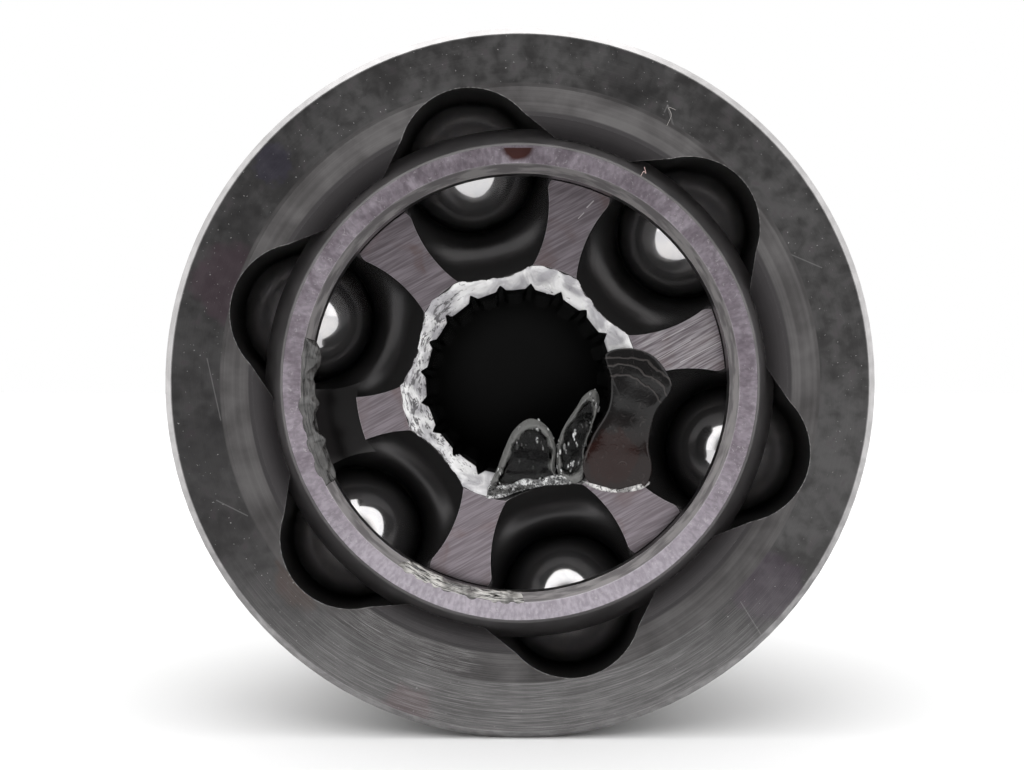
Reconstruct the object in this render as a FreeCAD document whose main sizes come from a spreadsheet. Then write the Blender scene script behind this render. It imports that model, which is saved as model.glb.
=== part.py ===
import FreeCAD, Part

import enum
import math
import os
import re

import Sketcher

# Fixed-ball constant-velocity joint, the outer joint of a drive shaft.
#
# Frame: the origin is the joint centre, where the drive shaft and the stub always cross.
# The joint axis lies along Y, with the open mouth towards -Y and the stub towards +Y.
# Angles round the axis are counted from +X towards +Z, as seen looking into the mouth.
# All lengths are millimetres and all angles are degrees.

SHEET_NAME = "Sizes"
PARTS_FOLDER = "parts"

DRIVING_SIZES = (
    # Balls, and the circle they sit on when the joint is straight
    ("ball_count", 6, "steel balls, tracks and cage windows"),
    ("ball_diameter", 17.462, "one ball, eleven sixteenths of an inch"),
    ("ball_pitch_radius", 30.4, "joint centre to ball centre"),
    ("track_offset", 4.2, "each track arc's centre from the joint centre, along the axis"),
    ("track_clearance", 0.2, "gap between a ball and the wall of its track"),
    ("first_ball_angle", 42.6, "angle of the first ball round the axis"),
    # Bell of the outer race
    ("bell_wall", 4.38, "deepest point of a track to the outside of the bell"),
    ("rim_chamfer", 0.9, "outer edge of the rim"),
    ("shallow_cone_width", 3.3, "flat rim face to the steep mouth cone"),
    ("shallow_cone_depth", 1.2, "depth of the shallow mouth cone"),
    ("steep_cone_width", 2.2, "shallow mouth cone to the cage seat"),
    ("steep_cone_depth", 1.9, "depth of the steep mouth cone"),
    ("bell_seat_reach", 15.0, "joint centre to the front end of the cage seat"),
    ("floor_gap", 1.06, "inner race to the flat floor of the bell, at full swing"),
    ("boot_seat_depth", 0.8, "turned seat for the boot, below the outside of the bell"),
    ("boot_seat_start", 3.0, "rim face to the boot seat"),
    ("boot_seat_width", 9.0, "width of the boot seat"),
    ("dome_radius", 36.0, "arc that closes the bell in"),
    ("track_floor_angle", 52.0, "how far a bell track runs past its middle, towards the floor"),
    ("track_mouth_angle", 45.0, "how far a bell track runs past its middle, towards the mouth"),
    ("flare_start", 4.4, "ball circle to where a bell track's mouth starts to flare, outwards"),
    ("flare_reach", 3.0, "ball circle to the inner end of the flare, inwards"),
    ("flare_angle", 39.0, "each side of the flare, to the middle plane of its track"),
    # Stub of the outer race
    ("floor_wall", 7.0, "floor of the bell to the shoulder face"),
    ("shoulder_radius", 27.5, "shoulder that the hub bearing is clamped against"),
    ("shoulder_width", 3.7, "collar between the dome and the shoulder face"),
    ("shoulder_chamfer", 0.7, "outer edge of the shoulder face"),
    ("journal_radius", 15.0, "plain journal behind the shoulder"),
    ("journal_length", 11.0, "length of the journal"),
    ("stub_spline_radius", 13.9, "crests of the hub spline"),
    ("stub_spline_length", 35.0, "length of the hub spline"),
    ("stub_spline_chamfer", 1.0, "end of the hub spline, next to the thread"),
    ("stub_tooth_count", 26, "teeth of the hub spline"),
    ("stub_tooth_depth", 1.1, "crest to root of the hub spline"),
    ("stub_gap_width", 2.0, "gap between two crests of the hub spline"),
    ("thread_radius", 11.9, "outside of the nut thread, left plain"),
    ("thread_length", 21.0, "length of the nut thread"),
    ("thread_chamfer", 1.5, "free end of the thread"),
    ("neck_depth", 1.2, "relief neck between spline and thread, below the thread"),
    ("neck_length", 3.0, "length of the relief neck"),
    ("centre_hole_radius", 3.2, "mouth of the lathe centre in the stub's end"),
    # Cage
    ("cage_reach", 4.04, "ball circle to the cage's outer sphere"),
    ("cage_wall", 4.44, "cage's outer sphere to its inner sphere"),
    ("cage_seat_clearance", 0.06, "cage sphere to the bell's seat"),
    ("cage_seat_front", 14.8, "joint centre to the front end of the race seat"),
    ("cage_seat_back", 14.1, "joint centre to the back end of the race seat"),
    ("cage_front_lip", 3.0, "race seat to the cage's front face"),
    ("cage_back_lip", 0.6, "race seat to the cage's back face"),
    ("cage_bore_chamfer", 1.1, "inner edge of the cage's front face"),
    ("cage_edge_chamfer", 0.4, "outer edge of the cage's front face"),
    ("window_width", 21.4, "cage window, round the axis"),
    ("window_clearance", 0.45, "ball to the front or back edge of its window"),
    ("window_corner", 3.4, "rounded corner of a window"),
    # Inner race
    ("race_seat_clearance", 0.06, "inner race sphere to the cage's seat"),
    ("race_front", 14.2, "joint centre to the inner race's front face"),
    ("race_back", 13.2, "joint centre to the inner race's back face"),
    ("land_chamfer_depth", 0.8, "turned edge round the lands, along the axis"),
    ("land_chamfer_width", 0.8, "turned edge round the lands, across the axis"),
    ("race_front_angle", 62.0, "how far an inner track is cut past its middle, forwards"),
    ("race_back_angle", 45.0, "how far an inner track is cut past its middle, backwards"),
    ("land_corner", 1.5, "rounded front corners of the lands, along each track's edge"),
    ("short_land_cut", 5.2, "front edge of the short land, back from the other lands' edge"),
    ("short_land_depth", 4.6, "step down of the short land"),
    ("short_land_steps", 2.5, "short land's place, in ball spacings from the first ball"),
    # Spline bore of the inner race
    ("bore_tip_radius", 11.6, "tips of the shaft spline's teeth"),
    ("bore_tooth_depth", 0.95, "tips to roots of the shaft spline"),
    ("bore_tooth_count", 20, "teeth of the shaft spline"),
    ("bore_tooth_angle", 2.5, "angle of the first tooth round the axis"),
    ("bore_gap_width", 1.75, "gap between two teeth, at their tips"),
    ("bore_root_width", 0.7, "gap between two teeth, at their roots"),
    ("bore_lead_width", 3.5, "front chamfer of the spline bore"),
    ("bore_back_chamfer", 1.2, "back edge of the spline bore"),
)

SIZE_NAMES = tuple(name for name, value, meaning in DRIVING_SIZES)

# Sizes that follow from the driving ones, as expressions
TRACK_ARC_RADIUS = "sqrt(ball_pitch_radius^2 + track_offset^2)"
TRACK_TUBE_RADIUS = "(ball_diameter / 2 + track_clearance)"
CAGE_OUTER_SPHERE = "(ball_pitch_radius + cage_reach)"
CAGE_INNER_SPHERE = f"({CAGE_OUTER_SPHERE} - cage_wall)"
SEAT_SPHERE = f"({CAGE_OUTER_SPHERE} + cage_seat_clearance)"
RACE_SPHERE = f"({CAGE_INNER_SPHERE} - race_seat_clearance)"
BELL_RADIUS = f"({TRACK_ARC_RADIUS} + {TRACK_TUBE_RADIUS} + bell_wall)"
RIM_DISTANCE = "(bell_seat_reach + steep_cone_depth + shallow_cone_depth)"
FLOOR_DISTANCE = f"({RACE_SPHERE} + floor_gap)"
SHOULDER_DISTANCE = f"({FLOOR_DISTANCE} + floor_wall)"
JOURNAL_END = f"({SHOULDER_DISTANCE} + journal_length)"
SPLINE_END = f"({JOURNAL_END} + stub_spline_length)"
NECK_END = f"({SPLINE_END} + neck_length)"
STUB_END = f"({NECK_END} + thread_length)"
CAGE_FRONT = "(cage_seat_front + cage_front_lip)"
CAGE_BACK = "(cage_seat_back + cage_back_lip)"
BALL_STEP = "(360 / ball_count)"

# A cut that has to leave a face runs this much past it
OVERSHOOT = 2.0

# How a sketch numbers the points of a line or an arc, counted from one
SketchPoint = enum.IntEnum("SketchPoint", "START END CENTRE")
ORIGIN = FreeCAD.Vector(0, 0, 0)
SKETCH_NORMAL = FreeCAD.Vector(0, 0, 1)
SKETCH_RIGHT = FreeCAD.Vector(1, 0, 0)

document = FreeCAD.newDocument("cv_joint")
sheet = document.addObject("Spreadsheet::Sheet", SHEET_NAME)
for row, (name, value, meaning) in enumerate(DRIVING_SIZES, start=1):
    sheet.set(f"A{row}", name)
    sheet.set(f"B{row}", str(value))
    sheet.set(f"C{row}", meaning)
    sheet.setAlias(f"B{row}", name)
document.recompute()


def bound(expression):
    """Turn an expression of size names into one that reads the size sheet."""

    def add_sheet(match):
        word = match.group(0)
        return f"{SHEET_NAME}.{word}" if word in SIZE_NAMES else word

    return re.sub(r"[a-z_]+", add_sheet, expression)


def measure(expression):
    """Work out the present value of an expression of size names."""
    return float(sheet.evalExpression(bound(expression)))


def new_body(label):
    """Start a sub-part: its label names its file."""
    body = document.addObject("PartDesign::Body", label)
    body.Label = label
    body.Placement = FreeCAD.Placement()
    return body


def new_sketch(body, name, plane):
    """Start a sketch on one of the body's own origin planes."""
    sketch = body.newObject("Sketcher::SketchObject", name)
    support = next(f for f in body.Origin.OriginFeatures if f.Role == plane)
    sketch.AttachmentSupport = [(support, "")]
    sketch.MapMode = "FlatFace"
    return sketch


def lift_sketch(sketch, distance):
    """Move a sketch off its plane, along its own normal."""
    sketch.AttachmentOffset.Base.z = measure(distance)
    sketch.setExpression("AttachmentOffset.Base.z", bound(distance))


def turn_sketch(sketch, axis, angle):
    """Turn a sketch on its plane, about an axis of its own."""
    base = sketch.AttachmentOffset.Base
    turn = FreeCAD.Rotation(axis, measure(angle))
    sketch.AttachmentOffset = FreeCAD.Placement(base, turn)
    sketch.setExpression("AttachmentOffset.Rotation.Angle", f"({bound(angle)}) * 1 deg")


def tie(sketch, kind, geometry, point, expression):
    """Hold one coordinate of a point at an expression of size names."""
    value = measure(expression)
    index = sketch.addConstraint(Sketcher.Constraint(kind, geometry, point, value))
    sketch.setExpression(f"Constraints[{index}]", bound(expression))


def place(corner):
    """Present position of a corner given as two expressions."""
    return FreeCAD.Vector(measure(corner[0]), measure(corner[1]), 0)


def draw_outline(sketch, corners, arcs=None):
    """Draw a closed outline of lines and arcs, tied to the size sheet.

    corners lists (across, along) expressions. arcs maps the number of a corner to
    (across, along, turn) of the arc from there to the next corner, where turn is
    +1 anticlockwise or -1 clockwise. The arc's centre and its near corner set its
    radius, so its far corner is held in one direction only: the one in which it
    lies nearer to the centre, since the arc runs that way there.
    """
    arcs = arcs or {}
    count = len(corners)
    spots = [place(corner) for corner in corners]
    ends = []
    for number in range(count):
        near = spots[number]
        far = spots[(number + 1) % count]
        if number not in arcs:
            sketch.addGeometry(Part.LineSegment(near, far))
            ends.append((SketchPoint.START, SketchPoint.END))
            continue
        across, along, turn = arcs[number]
        centre = place((across, along))
        first, last = (near, far) if turn > 0 else (far, near)
        start_angle = math.atan2(first.y - centre.y, first.x - centre.x)
        end_angle = math.atan2(last.y - centre.y, last.x - centre.x)
        circle = Part.Circle(centre, SKETCH_NORMAL, centre.distanceToPoint(near))
        sketch.addGeometry(Part.ArcOfCircle(circle, start_angle, end_angle))
        forwards = (SketchPoint.START, SketchPoint.END)
        ends.append(forwards if turn > 0 else forwards[::-1])
    for number in range(count):
        following = (number + 1) % count
        join = Sketcher.Constraint(
            "Coincident", number, ends[number][1], following, ends[following][0]
        )
        sketch.addConstraint(join)
    for number, (across, along) in enumerate(corners):
        arc = arcs.get((number - 1) % count)
        reach = spots[number] - place(arc[:2]) if arc else ORIGIN
        if arc is None or abs(reach.x) < abs(reach.y):
            tie(sketch, "DistanceX", number, ends[number][0], across)
        if arc is None or abs(reach.x) >= abs(reach.y):
            tie(sketch, "DistanceY", number, ends[number][0], along)
    for number, (across, along, turn) in arcs.items():
        tie(sketch, "DistanceX", number, SketchPoint.CENTRE, across)
        tie(sketch, "DistanceY", number, SketchPoint.CENTRE, along)


def draw_circle(sketch, across, radius):
    """Draw a circle whose centre lies on the sketch's horizontal axis."""
    centre = place((across, "0"))
    circle = sketch.addGeometry(Part.Circle(centre, SKETCH_NORMAL, measure(radius)))
    tie(sketch, "DistanceX", circle, SketchPoint.CENTRE, across)
    tie(sketch, "DistanceY", circle, SketchPoint.CENTRE, "0")
    index = sketch.addConstraint(Sketcher.Constraint("Radius", circle, measure(radius)))
    sketch.setExpression(f"Constraints[{index}]", bound(radius))


def revolve(body, sketch, name, kind="Revolution"):
    """Turn a sketch fully about its own vertical axis, which lies on Y."""
    feature = body.newObject(f"PartDesign::{kind}", name)
    feature.Profile = sketch
    feature.ReferenceAxis = (sketch, ["V_Axis"])
    feature.Angle = 360
    return feature


def track_sketch(body, name, offset):
    """Start a sketch on the centre of the first track's arc.

    offset is that centre's place in front of the joint centre. The sketch is
    turned so that its horizontal axis points at the first ball.
    """
    sketch = new_sketch(body, name, "XZ_Plane")
    lift_sketch(sketch, offset)
    turn_sketch(sketch, SKETCH_NORMAL, "first_ball_angle")
    return sketch


def sweep_track(body, sketch, name, forward_angle, backward_angle):
    """Cut a sketch along the track's arc, and again along every other track."""
    sweep = body.newObject("PartDesign::Groove", name)
    sweep.Profile = sketch
    sweep.ReferenceAxis = (sketch, ["V_Axis"])
    sweep.Type = "TwoAngles"
    sweep.setExpression("Angle", f"{bound(backward_angle)} * 1 deg")
    sweep.setExpression("Angle2", f"{bound(forward_angle)} * 1 deg")
    repeat_round_axis(body, sweep, "ball_count")


def cut_tracks(body, offset, forward_angle, backward_angle):
    """Cut the ball tracks: round tubes swept about axes square to the joint's."""
    sketch = track_sketch(body, "track_section", offset)
    draw_circle(sketch, TRACK_ARC_RADIUS, TRACK_TUBE_RADIUS)
    sweep_track(body, sketch, "track", forward_angle, backward_angle)


def repeat_round_axis(body, feature, count):
    """Repeat a feature evenly round the joint axis."""
    pattern = body.newObject("PartDesign::PolarPattern", f"{feature.Name}_pattern")
    pattern.Originals = [feature]
    axis = next(f for f in body.Origin.OriginFeatures if f.Role == "Y_Axis")
    pattern.Axis = (axis, [""])
    pattern.Angle = 360
    pattern.setExpression("Occurrences", bound(count))
    body.Tip = pattern
    return pattern


def cut_pocket(body, sketch, name, length, along_normal):
    """Cut a sketch's outline into the body to one side of the sketch."""
    pocket = body.newObject("PartDesign::Pocket", name)
    pocket.Profile = sketch
    pocket.Type = "Length"
    pocket.setExpression("Length", bound(length))
    pocket.Reversed = along_normal
    return pocket


def on_sphere(radius, along):
    """How far across the axis a sphere's surface is at one place along the axis."""
    return f"sqrt({radius}^2 - {along}^2)"


def build_outer_race():
    """Bell and stub, forged in one piece."""
    body = new_body("outer_race")
    rim = f"-{RIM_DISTANCE}"
    boot_seat = f"({BELL_RADIUS} - boot_seat_depth)"
    boot_start = f"(boot_seat_start - {RIM_DISTANCE})"
    boot_end = f"({boot_start} + boot_seat_width)"
    dome_centre = f"({BELL_RADIUS} - dome_radius)"
    dome_end = f"({SHOULDER_DISTANCE} - shoulder_width)"
    dome_start = f"({dome_end} - sqrt(dome_radius^2 - (shoulder_radius - {dome_centre})^2))"
    blank = new_sketch(body, "blank_section", "XY_Plane")
    draw_outline(
        blank,
        [
            ("0", rim),
            (f"{BELL_RADIUS} - rim_chamfer", rim),
            (BELL_RADIUS, f"rim_chamfer - {RIM_DISTANCE}"),
            (BELL_RADIUS, boot_start),
            (boot_seat, boot_start),
            (boot_seat, boot_end),
            (BELL_RADIUS, boot_end),
            (BELL_RADIUS, dome_start),
            ("shoulder_radius", dome_end),
            ("shoulder_radius", f"{SHOULDER_DISTANCE} - shoulder_chamfer"),
            ("shoulder_radius - shoulder_chamfer", SHOULDER_DISTANCE),
            ("journal_radius", SHOULDER_DISTANCE),
            ("journal_radius", JOURNAL_END),
            ("stub_spline_radius", JOURNAL_END),
            ("stub_spline_radius", f"{SPLINE_END} - stub_spline_chamfer"),
            ("stub_spline_radius - stub_spline_chamfer", SPLINE_END),
            ("thread_radius - neck_depth", SPLINE_END),
            ("thread_radius - neck_depth", NECK_END),
            ("thread_radius", NECK_END),
            ("thread_radius", f"{STUB_END} - thread_chamfer"),
            ("thread_radius - thread_chamfer", STUB_END),
            ("centre_hole_radius", STUB_END),
            ("0", f"{STUB_END} - centre_hole_radius * sqrt(3)"),
        ],
        arcs={7: (dome_centre, dome_start, 1)},
    )
    revolve(body, blank, "blank")

    mouth = on_sphere(SEAT_SPHERE, "bell_seat_reach")
    cavity = new_sketch(body, "cavity_section", "XY_Plane")
    draw_outline(
        cavity,
        [
            ("0", rim),
            (f"{mouth} + steep_cone_width + shallow_cone_width", rim),
            (f"{mouth} + steep_cone_width", f"shallow_cone_depth - {RIM_DISTANCE}"),
            (mouth, "-bell_seat_reach"),
            (on_sphere(SEAT_SPHERE, FLOOR_DISTANCE), FLOOR_DISTANCE),
            ("0", FLOOR_DISTANCE),
        ],
        arcs={3: ("0", "0", 1)},
    )
    revolve(body, cavity, "cavity", "Groove")

    cut_tracks(body, "track_offset", "track_mouth_angle", "track_floor_angle")
    flare = track_sketch(body, "flare_section", "track_offset")
    inner = f"({TRACK_ARC_RADIUS} - flare_reach)"
    outer = f"({TRACK_ARC_RADIUS} + flare_start)"
    narrow = f"sqrt({TRACK_TUBE_RADIUS}^2 - flare_start^2)"
    broad = f"({narrow} + (flare_start + flare_reach) * tan(flare_angle))"
    draw_outline(
        flare,
        [(inner, f"-{broad}"), (outer, f"-{narrow}"), (outer, narrow), (inner, broad)],
    )
    sweep_track(body, flare, "flare", "track_mouth_angle", "track_floor_angle")

    gap = new_sketch(body, "hub_spline_gap", "XZ_Plane")
    lift_sketch(gap, f"-{SPLINE_END}")
    outside = f"stub_spline_radius + {OVERSHOOT}"
    draw_outline(
        gap,
        [
            ("stub_spline_radius - stub_tooth_depth", "0"),
            ("stub_spline_radius", "-stub_gap_width / 2"),
            (outside, "-stub_gap_width / 2"),
            (outside, "stub_gap_width / 2"),
            ("stub_spline_radius", "stub_gap_width / 2"),
        ],
    )
    cut = cut_pocket(body, gap, "hub_spline_cut", "stub_spline_length", True)
    repeat_round_axis(body, cut, "stub_tooth_count")
    return body


def build_cage():
    """Ball cage: a windowed ring between two spheres."""
    body = new_body("cage")
    front_bore = on_sphere(CAGE_INNER_SPHERE, "cage_seat_front")
    back_bore = on_sphere(CAGE_INNER_SPHERE, "cage_seat_back")
    edge = f"({CAGE_FRONT} - cage_edge_chamfer)"
    ring = new_sketch(body, "ring_section", "XY_Plane")
    draw_outline(
        ring,
        [
            (front_bore, "-cage_seat_front"),
            (front_bore, f"cage_bore_chamfer - {CAGE_FRONT}"),
            (f"{front_bore} + cage_bore_chamfer", f"-{CAGE_FRONT}"),
            (f"{on_sphere(CAGE_OUTER_SPHERE, edge)} - cage_edge_chamfer", f"-{CAGE_FRONT}"),
            (on_sphere(CAGE_OUTER_SPHERE, edge), f"-{edge}"),
            (on_sphere(CAGE_OUTER_SPHERE, CAGE_BACK), CAGE_BACK),
            (back_bore, CAGE_BACK),
            (back_bore, "cage_seat_back"),
        ],
        arcs={4: ("0", "0", 1), 7: ("0", "0", -1)},
    )
    revolve(body, ring, "ring")

    window = new_sketch(body, "window_outline", "YZ_Plane")
    turn_sketch(window, SKETCH_RIGHT, "-first_ball_angle")
    high = "(ball_diameter / 2 + window_clearance)"
    wide = "(window_width / 2)"
    draw_outline(
        window,
        [
            (high, f"window_corner - {wide}"),
            (high, f"{wide} - window_corner"),
            (f"{high} - window_corner", wide),
            (f"window_corner - {high}", wide),
            (f"-{high}", f"{wide} - window_corner"),
            (f"-{high}", f"window_corner - {wide}"),
            (f"window_corner - {high}", f"-{wide}"),
            (f"{high} - window_corner", f"-{wide}"),
        ],
        arcs={
            1: (f"{high} - window_corner", f"{wide} - window_corner", 1),
            3: (f"window_corner - {high}", f"{wide} - window_corner", 1),
            5: (f"window_corner - {high}", f"window_corner - {wide}", 1),
            7: (f"{high} - window_corner", f"window_corner - {wide}", 1),
        },
    )
    cut = cut_pocket(body, window, "window", f"{SEAT_SPHERE} + {OVERSHOOT}", True)
    repeat_round_axis(body, cut, "ball_count")
    return body


def build_inner_race():
    """Star-shaped inner race with its spline bore."""
    body = new_body("inner_race")
    land_front = "(race_front - land_chamfer_depth)"
    land_back = "(race_back - land_chamfer_depth)"
    front_edge = f"({on_sphere(RACE_SPHERE, land_front)} - land_chamfer_width)"
    back_edge = f"({on_sphere(RACE_SPHERE, land_back)} - land_chamfer_width)"
    star = new_sketch(body, "star_section", "XY_Plane")
    draw_outline(
        star,
        [
            ("bore_tip_radius", "bore_lead_width - race_front"),
            ("bore_tip_radius + bore_lead_width", "-race_front"),
            (front_edge, "-race_front"),
            (on_sphere(RACE_SPHERE, land_front), f"-{land_front}"),
            (on_sphere(RACE_SPHERE, land_back), land_back),
            (back_edge, "race_back"),
            ("bore_tip_radius + bore_back_chamfer", "race_back"),
            ("bore_tip_radius", "race_back - bore_back_chamfer"),
        ],
        arcs={3: ("0", "0", 1)},
    )
    revolve(body, star, "star")

    cut_tracks(body, "-track_offset", "race_front_angle", "race_back_angle")
    corner = track_sketch(body, "corner_section", "-track_offset")
    across = f"({front_edge}^2 - {TRACK_TUBE_RADIUS}^2)"
    tip = f"sqrt({across} + (race_front + track_offset)^2)"
    start = f"({tip} - land_corner)"
    wall = f"sqrt({TRACK_TUBE_RADIUS}^2 - ({start} - {TRACK_ARC_RADIUS})^2)"
    broad = f"({wall} + land_corner)"
    beyond = f"({tip} + {OVERSHOOT})"
    draw_outline(
        corner,
        [
            (start, f"-{wall}"),
            (tip, f"-{broad}"),
            (beyond, f"-{broad}"),
            (beyond, broad),
            (tip, broad),
            (start, wall),
        ],
        arcs={0: (start, f"-{broad}", -1), 4: (start, broad, -1)},
    )
    sweep_track(body, corner, "land_corner", "race_front_angle", "race_back_angle")

    step = new_sketch(body, "short_land_outline", "XZ_Plane")
    lift_sketch(step, "race_front")
    turn_sketch(step, SKETCH_NORMAL, f"first_ball_angle + short_land_steps * {BALL_STEP}")
    step_radius = f"({front_edge} - short_land_cut)"
    side = f"({step_radius} * sin({BALL_STEP} / 2))"
    near = f"({step_radius} * cos({BALL_STEP} / 2))"
    draw_outline(
        step,
        [(near, f"-{side}"), (SEAT_SPHERE, f"-{side}"), (SEAT_SPHERE, side), (near, side)],
        arcs={3: ("0", "0", -1)},
    )
    cut_pocket(body, step, "short_land_step", "short_land_depth", False)

    gap = new_sketch(body, "bore_spline_gap", "XZ_Plane")
    lift_sketch(gap, "race_front")
    turn_sketch(gap, SKETCH_NORMAL, "bore_tooth_angle + 180 / bore_tooth_count")
    inside = f"bore_tip_radius - {OVERSHOOT}"
    root = "bore_tip_radius + bore_tooth_depth"
    draw_outline(
        gap,
        [
            (inside, "-bore_gap_width / 2"),
            ("bore_tip_radius", "-bore_gap_width / 2"),
            (root, "-bore_root_width / 2"),
            (root, "bore_root_width / 2"),
            ("bore_tip_radius", "bore_gap_width / 2"),
            (inside, "bore_gap_width / 2"),
        ],
    )
    cut = cut_pocket(body, gap, "bore_spline_cut", "race_front + race_back", False)
    repeat_round_axis(body, cut, "bore_tooth_count")
    return body


def build_ball(number):
    """One steel ball, at rest in the middle plane of the joint."""
    ball = document.addObject("Part::Sphere", f"ball_{number}")
    ball.Label = f"ball_{number}"
    ball.setExpression("Radius", bound("ball_diameter / 2"))
    angle = f"(first_ball_angle + {number - 1} * {BALL_STEP})"
    ball.setExpression("Placement.Base.x", bound(f"ball_pitch_radius * cos({angle})"))
    ball.setExpression("Placement.Base.z", bound(f"ball_pitch_radius * sin({angle})"))
    return ball


def check_document():
    """Stop if any object of the document failed to recompute."""
    for item in document.Objects:
        faults = {"Invalid", "Error"} & set(item.State)
        if faults:
            raise RuntimeError(f"{item.Label} is {faults}")


def check_cuts(body):
    """Stop if a cut took nothing away, as one that points off the solid does."""
    volume = 0.0
    for feature in body.Group:
        if feature.isDerivedFrom("PartDesign::Feature"):
            changed = feature.Shape.Volume - volume
            grows = feature.TypeId == "PartDesign::Revolution"
            if (changed > 0) != grows or changed == 0:
                raise RuntimeError(f"{body.Label}: {feature.Label} changed {changed} mm3")
            volume = feature.Shape.Volume


def export(sub_part):
    """Write one sub-part, after making sure that its shape is sound."""
    shape = sub_part.Shape
    if shape.isNull() or not shape.isValid() or len(shape.Solids) != 1:
        raise RuntimeError(f"{sub_part.Label} has no sound shape")
    shape.exportStep(os.path.join(PARTS_FOLDER, f"{sub_part.Label}.step"))
    print(f"{sub_part.Label}: {shape.Volume:.1f} mm3, {len(shape.Faces)} faces")


def main():
    """Build every sub-part, check the document and write the files."""
    bodies = [build_outer_race(), build_cage(), build_inner_race()]
    balls = [build_ball(number) for number in range(1, int(measure("ball_count")) + 1)]
    document.recompute()
    check_document()
    for body in bodies:
        check_cuts(body)
    os.makedirs(PARTS_FOLDER, exist_ok=True)
    for sub_part in bodies + balls:
        export(sub_part)


main()
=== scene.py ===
import logging
import math
from collections.abc import Callable
from dataclasses import dataclass
from enum import Enum
from functools import partial, reduce

import bpy
from mathutils import Matrix, Vector, noise
from mathutils.bvhtree import BVHTree


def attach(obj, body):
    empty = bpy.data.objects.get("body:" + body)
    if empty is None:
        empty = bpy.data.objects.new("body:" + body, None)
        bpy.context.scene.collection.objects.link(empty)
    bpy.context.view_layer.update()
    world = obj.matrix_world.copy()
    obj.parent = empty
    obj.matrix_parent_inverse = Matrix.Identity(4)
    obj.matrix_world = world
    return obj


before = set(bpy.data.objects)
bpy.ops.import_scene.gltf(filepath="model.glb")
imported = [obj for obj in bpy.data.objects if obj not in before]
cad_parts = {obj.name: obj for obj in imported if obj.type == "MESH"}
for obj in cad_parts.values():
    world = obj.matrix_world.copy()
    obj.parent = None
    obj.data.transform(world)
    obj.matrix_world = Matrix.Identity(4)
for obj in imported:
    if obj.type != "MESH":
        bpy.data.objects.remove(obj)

# Looks of a fixed-ball constant-velocity joint, seen into its open mouth.
# The joint centre is the origin, the mouth opens towards -Y and +Z is up.
# Sizes are millimetres here and metres in the meshes; MM turns one into the other.

MM = 0.001
LOG = logging.getLogger("cv_joint")
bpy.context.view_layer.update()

# A node's input or output, what can feed one, a spot across and up the joint's
# front, and the two values between which something fades.
Socket = bpy.types.NodeSocket
Source = Socket | float | tuple[float, ...]
Spot = tuple[float, float]
Span = tuple[float, float]

# A place times this keeps its distances across and up, and loses its depth.
FRONT = (1.0, 0.0, 1.0)


class Slot(Enum):
    """Material slots that go with the carriers of the same names."""

    BELL = "bell_steel"
    CAGE = "cage_steel"
    RACE = "race_steel"


class Carrier(Enum):
    """Bodies that carry what isn't steel."""

    BELL = "outer_race"
    CAGE = "cage"
    RACE = "inner_race"


def linear(code: str) -> tuple[float, float, float, float]:
    """Turn a hex colour as it is seen into the colour a shader reads.

    Args:
        code: six hex digits, red first.

    Returns:
        Linear red, green, blue and an alpha of one.
    """
    channels = [int(code[i : i + 2], 16) / 255 for i in (0, 2, 4)]
    curved = [c / 12.92 if c <= 0.04045 else ((c + 0.055) / 1.055) ** 2.4 for c in channels]
    return (*curved, 1.0)


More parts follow.
